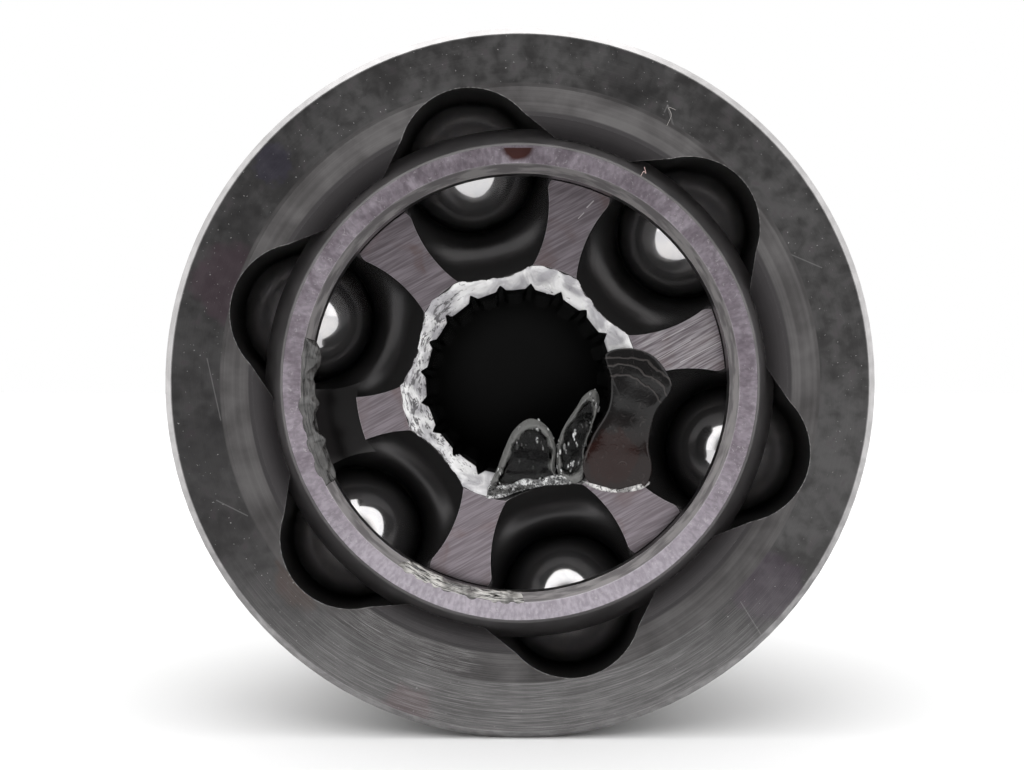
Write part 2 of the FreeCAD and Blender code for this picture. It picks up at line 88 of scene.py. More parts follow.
@dataclass
class Graph:
    """A node tree, with short ways to add to it."""

    tree: bpy.types.NodeTree

    def add(self, kind: str, **settings: object) -> bpy.types.Node:
        """Add a node of a kind and set its properties."""
        node = self.tree.nodes.new(kind)
        for name, value in settings.items():
            setattr(node, name, value)
        return node

    def feed(self, target: Socket, source: object) -> None:
        """Link a socket to another, or give it a constant."""
        if isinstance(source, Socket):
            self.tree.links.new(source, target)
        else:
            target.default_value = source

    def make(self, kind: str, inputs: dict[str | int, object], **settings: object) -> bpy.types.Node:
        """Add a node and feed its inputs.

        Args:
            kind: the node's type.
            inputs: a socket or a constant for each input, by its name or number.
            settings: the node's properties.

        Returns:
            The node.
        """
        node = self.add(kind, **settings)
        for key, source in inputs.items():
            self.feed(node.inputs[key], source)
        return node

    def math(self, operation: str, *values: Source, clamp: bool = False) -> Socket:
        """Work out one number from others.

        Args:
            operation: name of the Math node's operation.
            values: its inputs, in order.
            clamp: whether the result is held from 0 to 1.

        Returns:
            The result's socket.
        """
        inputs = dict(enumerate(values))
        return self.make("ShaderNodeMath", inputs, operation=operation, use_clamp=clamp).outputs[0]

    def times(self, *values: Source) -> Socket:
        """Multiply numbers."""
        return reduce(partial(self.math, "MULTIPLY"), values)

    def plus(self, *values: Source) -> Socket:
        """Add numbers."""
        return reduce(partial(self.math, "ADD"), values)

    def rest(self, share: Source) -> Socket:
        """Find what a share leaves of one."""
        return self.math("SUBTRACT", 1.0, share)

    def vector(self, operation: str, *values: Source) -> Socket:
        """Work out a vector from others, or the number that a dot product or distance gives."""
        node = self.make("ShaderNodeVectorMath", dict(enumerate(values)), operation=operation)
        return node.outputs["Value" if operation in ("DOT_PRODUCT", "DISTANCE") else "Vector"]

    def scale(self, vector: Source, size: Source) -> Socket:
        """Make a vector longer or shorter."""
        inputs = {0: vector, "Scale": size}
        return self.make("ShaderNodeVectorMath", inputs, operation="SCALE").outputs[0]

    def length(self, first: Source, second: Source) -> Socket:
        """Find the distance that two distances at right angles make."""
        return self.math("SQRT", self.plus(self.math("POWER", first, 2.0), self.math("POWER", second, 2.0)))

    def combine(self, x: Source, y: Source, z: Source) -> Socket:
        """Make a vector of three numbers."""
        return self.make("ShaderNodeCombineXYZ", {0: x, 1: y, 2: z}).outputs[0]

    def step(self, value: Source, start: float, end: float) -> Socket:
        """Rise smoothly from 0 to 1 as a value goes from start to end, or fall if end is lower."""
        low, high = sorted((start, end))
        first, last = (0.0, 1.0) if start < end else (1.0, 0.0)
        inputs = {"Value": value, "From Min": low, "From Max": high, "To Min": first, "To Max": last}
        return self.make("ShaderNodeMapRange", inputs, interpolation_type="SMOOTHSTEP").outputs[0]

    def band(self, value: Source, centre: float, half: float, soft: float) -> Socket:
        """Be 1 where a value is within half of a centre, and fall to 0 over a soft edge."""
        away = self.math("ABSOLUTE", self.math("SUBTRACT", value, centre))
        return self.step(away, half + soft, half)

    def noise(self, vector: Source, scale: float, detail: float = 2.0, distortion: float = 0.0) -> Socket:
        """Soft random numbers from 0 to 1 over a vector's space."""
        inputs = {"Vector": vector, "Scale": scale, "Detail": detail, "Distortion": distortion}
        return self.make("ShaderNodeTexNoise", inputs).outputs[0]

    def blend(self, share: Source, first: Source, second: Source, mode: str = "MIX") -> Socket:
        """Mix two colours.

        Args:
            share: how much of the second colour, from 0 to 1.
            first: the colour below.
            second: the colour above.
            mode: blend type of the Mix node.

        Returns:
            The mixed colour's socket.
        """
        inputs = {0: share, 6: first, 7: second}
        return self.make("ShaderNodeMix", inputs, data_type="RGBA", blend_type=mode).outputs[2]

    def tint(self, colour: Source, share: Source, code: str) -> Socket:
        """Lay a share of a hex colour over another colour."""
        return self.blend(share, colour, linear(code))

    def grade(self, value: Source, start: float, end: float, low: str, high: str) -> Socket:
        """Go from one hex colour to another as a value goes from start to end."""
        return self.blend(self.step(value, start, end), linear(low), linear(high))

    def stroke(self, point: Source, start: Spot, end: Spot, half: float) -> Socket:
        """Mark a straight stroke across the joint's front.

        Args:
            point: position in millimetres.
            start: across and up of one end, in millimetres.
            end: across and up of the other end.
            half: half of the stroke's width.

        Returns:
            1 on the stroke, fading to 0 at its edge.
        """
        first = Vector((start[0], 0.0, start[1]))
        along = Vector((end[0], 0.0, end[1])) - first
        flat = self.vector("MULTIPLY_ADD", point, FRONT, -first)
        run = self.vector("DOT_PRODUCT", flat, along / along.length_squared)
        foot = self.scale(along, self.math("ADD", run, 0.0, clamp=True))
        return self.step(self.vector("DISTANCE", flat, foot), half, half * 0.4)

    def blot(self, point: Source, centre: Spot, size: float, ragged: float = 0.5) -> Socket:
        """Mark a stain with an uneven edge on the joint's front.

        Args:
            point: position in millimetres.
            centre: across and up of its middle, in millimetres.
            size: how far it reaches.
            ragged: how uneven its edge is, from 0 to 1.

        Returns:
            1 in the stain, fading to 0 outside it.
        """
        flat = self.vector("MULTIPLY", point, FRONT)
        apart = self.vector("DISTANCE", flat, (centre[0], 0.0, centre[1]))
        lumps = self.noise(point, 2.2 / size, 3.0)
        uneven = self.math("MULTIPLY_ADD", lumps, 2.0 * ragged, 1.0 - ragged)
        return self.step(self.math("DIVIDE", apart, self.times(uneven, size)), 1.1, 0.75)


@dataclass(frozen=True)
class Place:
    """Sockets that tell a material where on the joint it is, in millimetres and radians."""

    point: Socket
    across: Socket
    depth: Socket
    up: Socket
    radius: Socket
    angle: Socket
    rings: Socket
    spokes: Socket


class SurfaceGraph(Graph):
    """The node tree of a new material, with its shader and its place on the joint."""

    def __init__(self, name: str) -> None:
        """Start a material with one principled shader."""
        self.material = bpy.data.materials.new(name)
        self.material.use_nodes = True
        super().__init__(self.material.node_tree)
        self.shader = self.tree.nodes["Principled BSDF"]
        self.place = self._find_place()

    def _find_place(self) -> Place:
        """Work out the place on the joint from the object's own coordinates."""
        point = self.scale(self.add("ShaderNodeTexCoord").outputs["Object"], 1 / MM)
        across, depth, up = self.make("ShaderNodeSeparateXYZ", {0: point}).outputs
        radius = self.length(across, up)
        angle = self.math("ARCTAN2", up, across)
        turn = (self.math("COSINE", angle), self.math("SINE", angle))
        rings = self.combine(self.times(turn[0], 0.25), radius, depth)
        spokes = self.combine(turn[0], turn[1], self.times(radius, 0.02))
        return Place(point, across, depth, up, radius, angle, rings, spokes)

    def set(self, name: str, source: Source) -> None:
        """Feed one of the shader's sockets."""
        self.feed(self.shader.inputs[name], source)

    def edges(self, width: float) -> Socket:
        """Find edges, where wear and a painted highlight go.

        Args:
            width: how far the wear and the painted highlight reach from an edge, in millimetres.

        Returns:
            0 away from edges, rising towards 1 at them.
        """
        rounded = self.make("ShaderNodeBevel", {"Radius": width * MM}, samples=6).outputs[0]
        straight = self.add("ShaderNodeNewGeometry").outputs["Normal"]
        return self.step(self.vector("DOT_PRODUCT", rounded, straight), 0.995, 0.85)

    def bump(self, height: Source, strength: float, distance: float) -> None:
        """Give the shader a rough surface.

        Args:
            height: the surface's height, from 0 to 1.
            strength: how much of the height shows.
            distance: the height's size, in millimetres.
        """
        inputs = {"Strength": strength, "Distance": distance * MM, "Height": height}
        self.set("Normal", self.make("ShaderNodeBump", inputs).outputs[0])

    def around(self, waves: float, across: float) -> Socket:
        """Make a vector that runs round the joint without a seam.

        Args:
            waves: how fast it changes round the joint.
            across: how fast it changes with the radius.

        Returns:
            The vector's socket.
        """
        turn = [self.times(self.math(way, self.place.angle), waves) for way in ("COSINE", "SINE")]
        return self.combine(*turn, self.times(self.place.radius, across))


@dataclass(frozen=True)
class BellFinish:
    """Dark, oily, turned steel of the outer race."""

    face: str = "454444"
    face_light: str = "605f5f"
    face_mauve: str = "4b3a45"
    bright: str = "b4b2b2"
    # Painted shade for the lower part of the rim's chamfer.
    chamfer_floor_shade: str = "6f6d6e"
    rim_shine: str = "e4e2e2"
    cone: str = "4a4848"
    cone_light: str = "6d6b6b"
    steep: str = "474546"
    track: str = "7c7a7a"
    face_dark: str = "2f2e2f"
    # Painted shade for the floor far inside the hollow.
    hollow_floor_shade: str = "0b0b0b"
    outside: str = "6a6867"
    outside_light: str = "777574"
    outside_rust: str = "6c6059"
    ground: str = "aeabaa"
    ground_dull: str = "a19e9d"
    track_centre: float = 4.2
    hollow_reach: Span = (40.2, 39.9)
    hollow_front: Span = (-18.06, -17.9)
    hollow_back: Span = (31.6, 31.4)
    floor_radius: Span = (24.0, 16.0)
    floor_depth: Span = (8.0, 20.0)
    chamfer_radius: Span = (42.9, 43.15)
    chamfer_depth: Span = (-17.0, -17.2)
    ground_start: Span = (34.1, 34.3)
    lower_half: Span = (-19.0, -41.0)
    # A cone's surface lies where radius + first number * depth = second number.
    shallow_cone: tuple[float, float] = (2.75, -13.205)
    steep_cone: tuple[float, float] = (1.158, 13.70)
    stains: tuple[tuple[Spot, float, str, float], ...] = (
        ((-35.5, 12.2), 5.2, "51424a", 0.5),
        ((-30.5, 27.0), 2.6, "45405a", 0.25),
        ((-14.0, -40.6), 3.2, "74434c", 0.28),
        ((-26.4, -24.0), 4.0, "584740", 0.4),
        ((30.8, -25.0), 4.6, "57455a", 0.25),
        ((14.0, 38.2), 4.0, "2e2d2e", 0.35),
        ((-39.0, -8.0), 4.0, "333233", 0.35),
    )
    scratches: tuple[tuple[Spot, Spot, float], ...] = (
        ((19.2, 30.6), (18.2, 34.2), 0.16),
        ((18.2, 34.2), (17.8, 33.4), 0.12),
        ((-37.4, -14.5), (-33.6, -16.4), 0.1),
        ((-38.6, 3.0), (-36.9, -4.6), 0.09),
        ((33.0, 16.0), (37.2, 14.2), 0.1),
        ((27.2, -27.0), (30.0, -31.5), 0.1),
    )

    def build(self) -> bpy.types.Material:
        """Make the material."""
        graph = SurfaceGraph("bell_steel_oiled")
        place = graph.place
        turned = graph.noise(place.rings, 9.0, 3.0)
        fine = graph.noise(place.rings, 34.0, 2.0)
        patches = graph.noise(place.point, 0.6, 6.0, 0.3)
        grain = graph.noise(place.point, 2.6, 3.0, 0.3)
        hollow = self._hollow(graph)
        colour, cones = self._cones(graph, self._face(graph, patches), fine)
        inside = graph.times(hollow, graph.rest(cones))
        dry = graph.rest(inside)
        colour = graph.tint(colour, inside, self.track)
        # Painted shade: the floor far inside the bell's hollow is painted near-black.
        hollow_floor_shade = graph.times(
            graph.step(place.radius, *self.floor_radius), graph.step(place.depth, *self.floor_depth), hollow
        )
        colour = graph.tint(colour, hollow_floor_shade, self.hollow_floor_shade)
        behind = graph.step(place.depth, *self.chamfer_depth[::-1])
        outside = graph.times(behind, graph.rest(hollow))
        colour = graph.blend(outside, colour, self._scale(graph, patches))
        ground = graph.grade(patches, 0.4, 0.62, self.ground_dull, self.ground)
        colour = graph.blend(graph.step(place.depth, *self.ground_start), colour, ground)
        chamfer = graph.times(
            graph.step(place.radius, *self.chamfer_radius), graph.step(place.depth, *self.chamfer_depth)
        )
        # Painted shade: the chamfer's colour darkens towards the bottom, where it faces the shadowed floor.
        chamfer_shaded = graph.grade(place.up, 6.0, -36.0, self.bright, self.chamfer_floor_shade)
        chamfer_shaded = graph.tint(chamfer_shaded, graph.times(graph.step(patches, 0.3, 0.75), 0.35), self.rim_shine)
        colour = graph.blend(chamfer, colour, chamfer_shaded)
        lower = graph.step(place.up, *self.lower_half)
        colour = self._lathe_marks(graph, colour, (turned, fine), (lower, dry, cones))
        # Edges tinted bright: partly wear to bare steel, partly a painted highlight along the edges.
        wear_and_edge_glint = graph.times(graph.edges(0.22), graph.step(grain, 0.4, 0.62), graph.times(dry, 0.75))
        graph.set("Base Color", graph.tint(colour, wear_and_edge_glint, self.bright))
        graph.set("Metallic", graph.rest(graph.times(inside, 0.3)))
        rough = graph.math("MULTIPLY_ADD", graph.times(patches, dry), 0.22, 0.36)
        rough = graph.math("SUBTRACT", rough, graph.times(inside, 0.04))
        graph.set("Roughness", graph.math("SUBTRACT", rough, graph.times(chamfer, 0.12)))
        height = graph.plus(graph.times(turned, 0.6), graph.times(fine, 0.5))
        height = graph.times(height, graph.math("MULTIPLY_ADD", lower, 0.7, 0.3))
        height = graph.plus(height, graph.times(grain, 0.25))
        graph.bump(graph.times(height, dry), 0.5, 0.05)
        return graph.material

    def _lathe_marks(
        self,
        graph: SurfaceGraph,
        colour: Socket,
        marks: tuple[Socket, ...],
        where: tuple[Socket, ...],
    ) -> Socket:
        """Draw the rings that turning left, and bright flecks on them that are painted highlights.

        Args:
            graph: the material.
            colour: the colour below.
            marks: coarse and fine rings.
            where: the joint's lower half, its dry surfaces and its cones.

        Returns:
            The marked colour's socket.
        """
        coarse, fine = marks
        lower, dry, cones = where
        rings = graph.grade(coarse, 0.3, 0.7, "b4b4b4", "ffffff")
        # The rings are real turning marks; drawing them stronger in the lower half is painted light, as the
        # light picks them out there.
        cut = graph.times(dry, graph.math("MULTIPLY_ADD", lower, 0.5, 0.14))
        colour = graph.blend(cut, colour, graph.blend(1.0, colour, rings, "MULTIPLY"))
        # Painted highlights: bright flecks on the rings, strongest in the lower half and weaker on the
        # cones.
        painted_glints = graph.times(lower, graph.math("MULTIPLY_ADD", graph.step(fine, 0.5, 0.66), 0.7, 0.3))
        share = graph.times(dry, graph.math("MULTIPLY_ADD", cones, -0.58, 0.68))
        return graph.tint(colour, graph.times(painted_glints, share), self.bright)

    def _face(self, graph: SurfaceGraph, patches: Socket) -> Socket:
        """Colour the turned face, with its stains, scratches and chips."""
        place = graph.place
        stains = graph.noise(place.point, 0.11, 4.0, 0.6)
        cloudy = graph.plus(graph.times(stains, 0.6), graph.times(patches, 0.4))
        colour = graph.grade(cloudy, 0.38, 0.64, self.face, self.face_light)
        left = graph.times(graph.step(place.across, -12.0, -40.0), 0.45)
        colour = graph.tint(colour, left, self.face_dark)
        mauve = graph.times(graph.step(patches, 0.56, 0.74), 0.25)
        colour = graph.tint(colour, mauve, self.face_mauve)
        for centre, size, tint, share in self.stains:
            stain = graph.times(graph.blot(place.point, centre, size), share)
            colour = graph.tint(colour, stain, tint)
        chips = graph.noise(place.point, 3.1, 2.0)
        spots = graph.times(graph.step(chips, 0.715, 0.74), graph.step(place.radius, 30.0, 32.0))
        colour = graph.tint(colour, graph.times(spots, 0.8), self.bright)
        for start, end, half in self.scratches:
            scratch = graph.times(graph.stroke(place.point, start, end, half), 0.2)
            colour = graph.tint(colour, scratch, self.bright)
        return colour

    def _scale(self, graph: SurfaceGraph, patches: Socket) -> Socket:
        """Colour the bell's outside, with handling marks and a breath of rust."""
        place = graph.place
        colour = graph.grade(patches, 0.38, 0.66, self.outside, self.outside_light)
        stains = graph.noise(place.point, 0.06, 5.0, 0.5)
        colour = graph.tint(colour, graph.times(graph.step(stains, 0.55, 0.7), 0.5), self.outside_rust)
        chips = graph.noise(place.point, 1.7, 3.0)
        return graph.tint(colour, graph.times(graph.step(chips, 0.68, 0.72), 0.5), self.bright)

    def _cones(self, graph: SurfaceGraph, colour: Socket, fine: Socket) -> tuple[Socket, Socket]:
        """Colour the two lead-in cones, and say where they are."""
        place = graph.place
        shallow, steep = (
            graph.band(graph.plus(place.radius, graph.times(place.depth, slope)), apex, half, soft)
            for (slope, apex), half, soft in ((self.shallow_cone, 0.35, 0.2), (self.steep_cone, 0.2, 0.15))
        )
        polish = graph.noise(place.rings, 1.4, 4.0, 0.4)
        broken = graph.noise(place.point, 0.16, 4.0, 0.3)
        shine = graph.plus(graph.times(polish, 0.3), graph.times(broken, 0.7))
        cone = graph.grade(shine, 0.3, 0.7, self.cone, self.cone_light)
        rust = graph.times(graph.blot(place.point, (-25.0, -22.5), 4.0), 0.45)
        cone = graph.tint(cone, rust, self.outside_rust)
        # Painted highlight: sparkling bright flecks on the shallow cone, low on the left.
        painted_sparkle = graph.times(graph.blot(place.point, (-13.0, -31.5), 9.0), graph.step(fine, 0.5, 0.66))
        cone = graph.tint(cone, graph.times(painted_sparkle, 0.6), self.bright)
        colour = graph.blend(shallow, colour, cone)
        colour = graph.tint(colour, steep, self.steep)
        return colour, graph.math("MAXIMUM", shallow, steep)

    def _hollow(self, graph: SurfaceGraph) -> Socket:
        """Be 1 on the surfaces that face the balls, and 0 outside."""
        place = graph.place
        reach = graph.length(graph.plus(place.depth, self.track_centre), place.radius)
        within = graph.step(reach, *self.hollow_reach)
        front = graph.step(place.depth, *self.hollow_front)
        back = graph.step(place.depth, *self.hollow_back)
        return graph.times(within, graph.times(front, back))


@dataclass(frozen=True)
class CageFinish:
    """Mauve-grey ground steel of the cage."""

    face: str = "8f858e"
    face_light: str = "aca3ac"
    face_low: str = "c0b9c2"
    chamfer: str = "7b7878"
    stained: str = "5e5b5c"
    side: str = "a3a0a1"
    bright: str = "cfcbcd"
    rust: str = "4c3331"
    front_depth: Span = (-17.7, -17.78)
    bore_radius: Span = (27.4, 27.0)
    bore_depth: Span = (-14.6, -15.0)

    def build(self) -> bpy.types.Material:
        """Make the material."""
        graph = SurfaceGraph("cage_steel_ground")
        place = graph.place
        radial = graph.noise(place.spokes, 60.0, 3.0)
        stains = graph.noise(place.point, 0.35, 4.0, 0.8)
        colour = graph.grade(stains, 0.35, 0.75, self.face, self.face_light)
        colour = graph.tint(colour, graph.times(graph.step(place.up, -4.0, -29.0), 0.8), self.face_low)
        fine = graph.grade(radial, 0.3, 0.7, "b8b8b8", "ffffff")
        colour = graph.blend(0.55, colour, fine, "MULTIPLY")
        scuffs = graph.noise(place.point, 1.6, 6.0, 1.6)
        colour = graph.tint(colour, graph.times(graph.step(scuffs, 0.6, 0.7), 0.4), self.bright)
        front = graph.step(place.depth, *self.front_depth)
        behind = graph.rest(front)
        inner = graph.times(behind, graph.step(place.radius, *self.bore_radius))
        colour = graph.tint(colour, behind, self.side)
        inner = graph.times(inner, graph.step(place.depth, *self.bore_depth))
        wiped = graph.noise(graph.around(7.0, 2.0), 1.0, 4.0)
        marked = graph.grade(wiped, 0.4, 0.6, self.stained, self.chamfer)
        colour = graph.blend(inner, colour, marked)
        rust = graph.blot(place.point, (-0.3, 29.3), 2.0, 0.15)
        rust = graph.times(rust, graph.step(place.up, 29.1, 29.0))
        colour = graph.tint(colour, graph.times(rust, front), self.rust)
        # Edges tinted bright: partly wear to bare steel, partly a painted highlight along the edges.
        wear_and_edge_glint = graph.times(graph.edges(0.14), graph.step(stains, 0.3, 0.6))
        colour = graph.tint(colour, graph.times(wear_and_edge_glint, 0.8), self.bright)
        graph.set("Base Color", colour)
        graph.set("Metallic", 1.0)
        graph.set("Roughness", graph.plus(0.32, graph.times(stains, 0.2)))
        relief = graph.plus(radial, graph.times(scuffs, 0.5))
        graph.bump(graph.times(relief, front), 0.35, 0.03)
        return graph.material


@dataclass(frozen=True)
class RaceFinish:
    """Ground front faces and dark, oily tracks of the inner race."""

    face: str = "766e73"
    face_light: str = "91898f"
    brown: str = "725f5d"
    corner: str = "6f6c6d"
    track: str = "444343"
    bore: str = "171717"
    # Painted shade for the recess in the left-hand land.
    recess_shade: str = "222121"
    bright: str = "d6d2d4"
    front_depth: Span = (-14.1, -14.18)
    corner_depth: Span = (-13.2, -13.3)
    corner_radius: Span = (24.6, 25.2)
    bore_radius: Span = (12.9, 12.7)
    worn_depth: Span = (-12.7, -13.3)
    grinding_slant: float = 28.0
    scratches: tuple[tuple[Spot, Spot, float], ...] = (
        ((20.3, 2.6), (25.4, 5.2), 0.08),
        ((17.4, 3.0), (21.6, 5.4), 0.06),
        ((18.0, 5.4), (20.8, 6.9), 0.06),
        ((8.5, 22.2), (9.3, 23.0), 0.11),
        ((7.4, 20.8), (8.1, 21.5), 0.07),
    )

    def build(self) -> bpy.types.Material:
        """Make the material."""
        graph = SurfaceGraph("race_steel_ground")
        place = graph.place
        streaks = self._streaks(graph)
        stains = graph.noise(place.point, 0.2, 3.0, 0.5)
        colour = graph.grade(streaks, 0.36, 0.66, self.face, self.face_light)
        colour = graph.tint(colour, graph.times(graph.step(stains, 0.5, 0.7), 0.6), self.brown)
        # Painted sheen: a brighter patch across the streaks of the right-hand land.
        painted_sheen = graph.times(graph.blot(place.point, (20.5, 4.6), 6.0), 0.5)
        painted_sheen = graph.times(painted_sheen, graph.step(streaks, 0.34, 0.72))
        colour = graph.tint(colour, painted_sheen, self.bright)
        scratch: Source = 0.0
        for start, end, half in self.scratches:
            scratch = graph.math("MAXIMUM", scratch, graph.stroke(place.point, start, end, half))
        colour = graph.tint(colour, graph.times(scratch, 0.8), self.bright)
        front = graph.step(place.depth, *self.front_depth)
        edge = graph.times(
            graph.step(place.depth, *self.corner_depth), graph.step(place.radius, *self.corner_radius)
        )
        behind = graph.rest(front)
        colour = graph.tint(colour, behind, self.track)
        colour = graph.tint(colour, graph.times(behind, edge), self.corner)
        # Painted shade: the recess in the left-hand land is painted near-black.
        recess = graph.times(behind, graph.blot(place.point, (-23.0, -5.0), 5.5, 0.2))
        colour = graph.tint(colour, recess, self.recess_shade)
        bore = graph.times(behind, graph.step(place.radius, *self.bore_radius))
        colour = graph.tint(colour, bore, self.bore)
        # Edges tinted bright: partly wear to bare steel, partly a painted highlight along the edges.
        wear_and_edge_glint = graph.times(graph.edges(0.12), graph.step(place.depth, *self.worn_depth))
        wear_and_edge_glint = graph.times(wear_and_edge_glint, graph.step(streaks, 0.3, 0.55))
        colour = graph.tint(colour, graph.times(wear_and_edge_glint, 0.75), self.bright)
        graph.set("Base Color", colour)
        oily = graph.times(behind, graph.rest(bore))
        graph.set("Metallic", graph.rest(graph.times(oily, 0.2)))
        rough = graph.plus(0.28, graph.times(graph.times(streaks, front), 0.18))
        graph.set("Roughness", graph.math("SUBTRACT", rough, graph.times(behind, 0.06)))
        graph.bump(graph.times(streaks, front), 0.25, 0.03)
        return graph.material

    def _streaks(self, graph: SurfaceGraph) -> Socket:
        """Lay straight grinding streaks slantwise over the front."""
        angle = math.radians(self.grinding_slant)
        inputs = {"Vector": graph.place.point, "Axis": (0.0, 1.0, 0.0), "Angle": angle}
        slant = graph.make("ShaderNodeVectorRotate", inputs, rotation_type="AXIS_ANGLE").outputs[0]
        return graph.noise(graph.vector("MULTIPLY", slant, (0.22, 0.0, 5.0)), 0.9, 5.0, 0.3)


@dataclass(frozen=True)
class BallFinish:
    """Mirror-polished ball under a film of oil."""

    steel: str = "c3c2c4"
    smeared: str = "cfcccb"

    def build(self) -> bpy.types.Material:
        """Make the material."""
        graph = SurfaceGraph("ball_steel_polished")
        smear = graph.noise(graph.place.point, 0.5, 4.0, 1.0)
        graph.set("Base Color", graph.grade(smear, 0.3, 0.75, self.steel, self.smeared))
        graph.set("Metallic", 0.93)
        graph.set("Roughness", graph.plus(0.07, graph.times(smear, 0.06)))
        graph.set("Coat Weight", 0.5)
        graph.set("Coat Roughness", 0.32)
        return graph.material


@dataclass(frozen=True)
class GreaseFinish:
    """Wet grease, with veins where it has drawn thin over dark steel."""

    name: str
    pale: str
    shade: str
    vein: str
    vein_share: float = 0.5
    scale: float = 0.9
    roughness: float = 0.12
    clear: float = 0.0
    relief: float = 0.25
    coat: float = 0.6
    ior: float = 1.47
    left_darker: float = 0.0
    flow: float = 0.0
    flow_across: float = 1.5
    # Colour of a band round a drop's edge, partly milky grease and partly a painted meniscus highlight.
    rim: str | None = None

    def build(self) -> bpy.types.Material:
        """Make the material."""
        graph = SurfaceGraph(self.name)
        place = graph.place
        spread = place.point
        if self.flow:
            spread = graph.around(self.flow, self.flow_across)
        lumps = graph.noise(spread, self.scale, 3.0, 1.4)
        wrinkles = graph.noise(spread, self.scale * 2.6, 2.0, 1.8)
        mixed = graph.plus(graph.times(lumps, 0.55), graph.times(wrinkles, 0.45))
        left = graph.times(graph.step(place.across, -2.0, -13.0), self.left_darker)
        mixed = graph.math("SUBTRACT", mixed, left)
        edge = 0.36 + 0.2 * self.vein_share
        veins = graph.step(mixed, edge, edge - 0.1)
        clouds = graph.step(graph.noise(place.point, self.scale * 0.5, 3.0, 0.8), 0.35, 0.65)
        milky = graph.blend(clouds, linear(self.shade), linear(self.pale))
        colour = graph.tint(milky, veins, self.vein)
        clear = self.clear
        # Where a rim colour is given, a band round the drop's edge turns less clear and takes that colour:
        # partly milky grease, partly a painted highlight along the meniscus, kept off the lowest part.
        if self.rim:
            rim = graph.add("ShaderNodeAttribute", attribute_name="rim").outputs["Fac"]
            wander = graph.math("MULTIPLY_ADD", graph.noise(place.point, 0.6, 3.0), 0.5, rim)
            milky_rim_highlight = graph.times(graph.step(wander, 0.98, 1.1), graph.step(place.up, -13.6, -12.4))
            colour = graph.tint(colour, milky_rim_highlight, self.rim)
            clear = graph.times(graph.math("MULTIPLY_ADD", milky_rim_highlight, -0.7, 1.0), self.clear)
        graph.set("Base Color", colour)
        graph.set("Metallic", 0.0)
        graph.set("IOR", self.ior)
        graph.set("Transmission Weight", clear)
        graph.set("Roughness", graph.plus(self.roughness, graph.times(veins, 0.12)))
        graph.set("Coat Weight", self.coat)
        graph.set("Coat Roughness", 0.04)
        graph.bump(mixed, 0.9, self.relief)
        return graph.material


@dataclass(frozen=True)
class OilFinish:
    """Dark used oil: grey above, brown where it lies thick, with rings left by its shrinking edge."""

    grey: str = "171616"
    brown: str = "210f0c"
    pale: str = "4a4645"
    ring_centre: Spot = (12.6, -4.6)
    thick_centre: Spot = (11.8, -9.4)

    def build(self) -> bpy.types.Material:
        """Make the material."""
        graph = SurfaceGraph("used_oil")
        place = graph.place
        clouds = graph.noise(place.point, 0.35, 4.0, 1.0)
        low = graph.plus(place.up, graph.times(clouds, 6.0))
        thick = graph.blot(place.point, self.thick_centre, 3.6, 0.6)
        stain = graph.math("MAXIMUM", graph.times(graph.step(low, 0.5, -8.0), 0.5), thick)
        colour = graph.blend(stain, linear(self.grey), linear(self.brown))
        thin = graph.noise(place.point, 1.1, 4.0, 1.6)
        colour = graph.tint(colour, graph.times(graph.step(thin, 0.6, 0.72), 0.3), self.pale)
        rings = self._rings(graph)
        colour = graph.tint(colour, graph.times(graph.step(rings, 0.86, 0.98), 0.6), self.pale)
        graph.set("Base Color", colour)
        graph.set("Metallic", 0.0)
        graph.set("Roughness", 0.12)
        graph.set("IOR", 1.47)
        graph.set("Specular IOR Level", 0.35)
        graph.bump(graph.plus(thin, graph.times(graph.step(rings, 0.8, 1.0), 0.9)), 0.3, 0.04)
        return graph.material

    def _rings(self, graph: SurfaceGraph) -> Socket:
        """Draw the rings that the oil's edge left as it shrank, strongest towards its rim."""
        place = graph.place
        across, up = self.ring_centre
        apart = graph.vector("DISTANCE", graph.combine(place.across, 0.0, place.up), (across, 0.0, up))
        wobble = graph.times(graph.noise(place.point, 0.5, 2.0), 1.6)
        reach = graph.plus(apart, wobble)
        wave = graph.math("MULTIPLY_ADD", graph.math("SINE", graph.times(reach, 5.2)), 0.5, 0.5)
        upper = graph.step(place.up, -9.0, -2.0)
        return graph.times(graph.times(wave, upper), graph.step(reach, 3.0, 6.0))


@dataclass(frozen=True)
class FibreFinish:
    """Lint caught on the steel."""

    name: str
    tint: str
    light: str = "d8d2cf"

    def build(self) -> bpy.types.Material:
        """Make the material."""
        graph = SurfaceGraph(self.name)
        speckle = graph.noise(graph.place.point, 6.0, 2.0)
        graph.set("Base Color", graph.blend(speckle, linear(self.tint), linear(self.light)))
        graph.set("Roughness", 0.8)
        return graph.material


